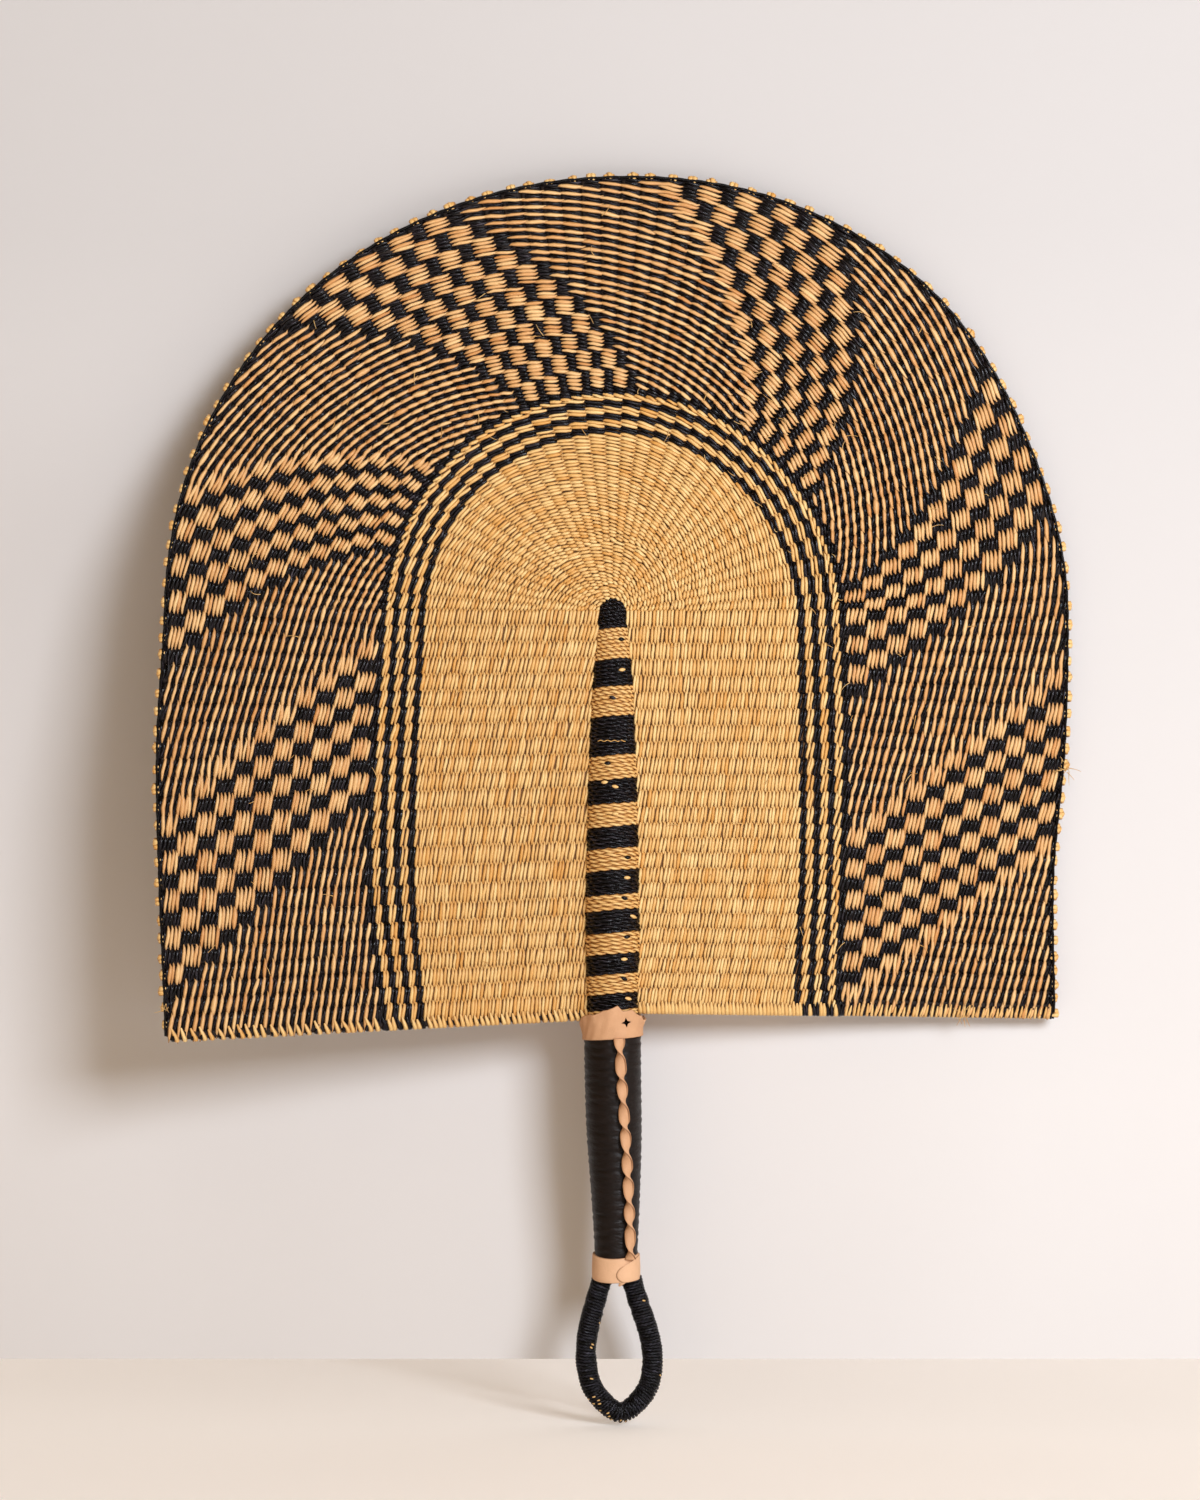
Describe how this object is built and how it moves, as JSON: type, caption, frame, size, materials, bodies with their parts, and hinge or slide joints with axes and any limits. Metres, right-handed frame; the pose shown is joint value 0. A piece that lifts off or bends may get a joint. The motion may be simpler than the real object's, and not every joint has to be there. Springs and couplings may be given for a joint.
{
  "type": "woven grass hand fan",
  "caption": "Large horseshoe-shaped hand fan twined from plain and black-dyed grass, with a banded spine, a laced leather grip and a hanging loop.",
  "frame": {"origin": "middle of the leather grip, on the centre line of the blade", "axes": "+Z along the grip towards the top of the blade, +Y out of the back of the blade, the pictured face looks along -Y, +X to the right of that face"},
  "size_m": [0.4002, 0.0275, 0.5458],
  "materials": {
    "stalks": "dry grass stalks",
    "straw_weft": "plain twisted grass, softly glossy",
    "dyed_weft": "black-dyed twisted grass, softly glossy",
    "pattern_weft": "plain and black-dyed grass twined together",
    "black_leather": "smooth, slightly worn",
    "tan_leather": "undyed, matt"
  },
  "bodies": {
    "root": {"stalk_bundle": "stalks", "loop_core": "stalks", "grip_wrapping": "straw_weft", "spine_wrap_straw_1": "straw_weft", "spine_wrap_straw_2": "straw_weft", "spine_wrap_straw_3": "straw_weft", "spine_wrap_straw_4": "straw_weft", "spine_wrap_straw_5": "straw_weft", "spine_wrap_straw_6": "straw_weft", "spine_wrap_straw_7": "straw_weft", "spine_wrap_straw_8": "straw_weft", "natural_field": "straw_weft", "ring_straw_1": "straw_weft", "ring_straw_2": "straw_weft", "ring_straw_3": "straw_weft", "rim_strand": "straw_weft", "hem_left": "straw_weft", "hem_right": "straw_weft", "spine_wrap_black_1": "dyed_weft", "spine_wrap_black_2": "dyed_weft", "spine_wrap_black_3": "dyed_weft", "spine_wrap_black_4": "dyed_weft", "spine_wrap_black_5": "dyed_weft", "spine_wrap_black_6": "dyed_weft", "spine_wrap_black_7": "dyed_weft", "spine_wrap_black_8": "dyed_weft", "spine_wrap_black_9": "dyed_weft", "ring_black_1": "dyed_weft", "ring_black_2": "dyed_weft", "ring_black_3": "dyed_weft", "ring_black_4": "dyed_weft", "edge_row": "dyed_weft", "loop_wrapping": "dyed_weft", "patterned_field": "pattern_weft", "leather_sleeve": "black_leather", "top_collar": "tan_leather", "foot_collar": "tan_leather", "twisted_lace": "tan_leather"}
  },
  "joints": []
}
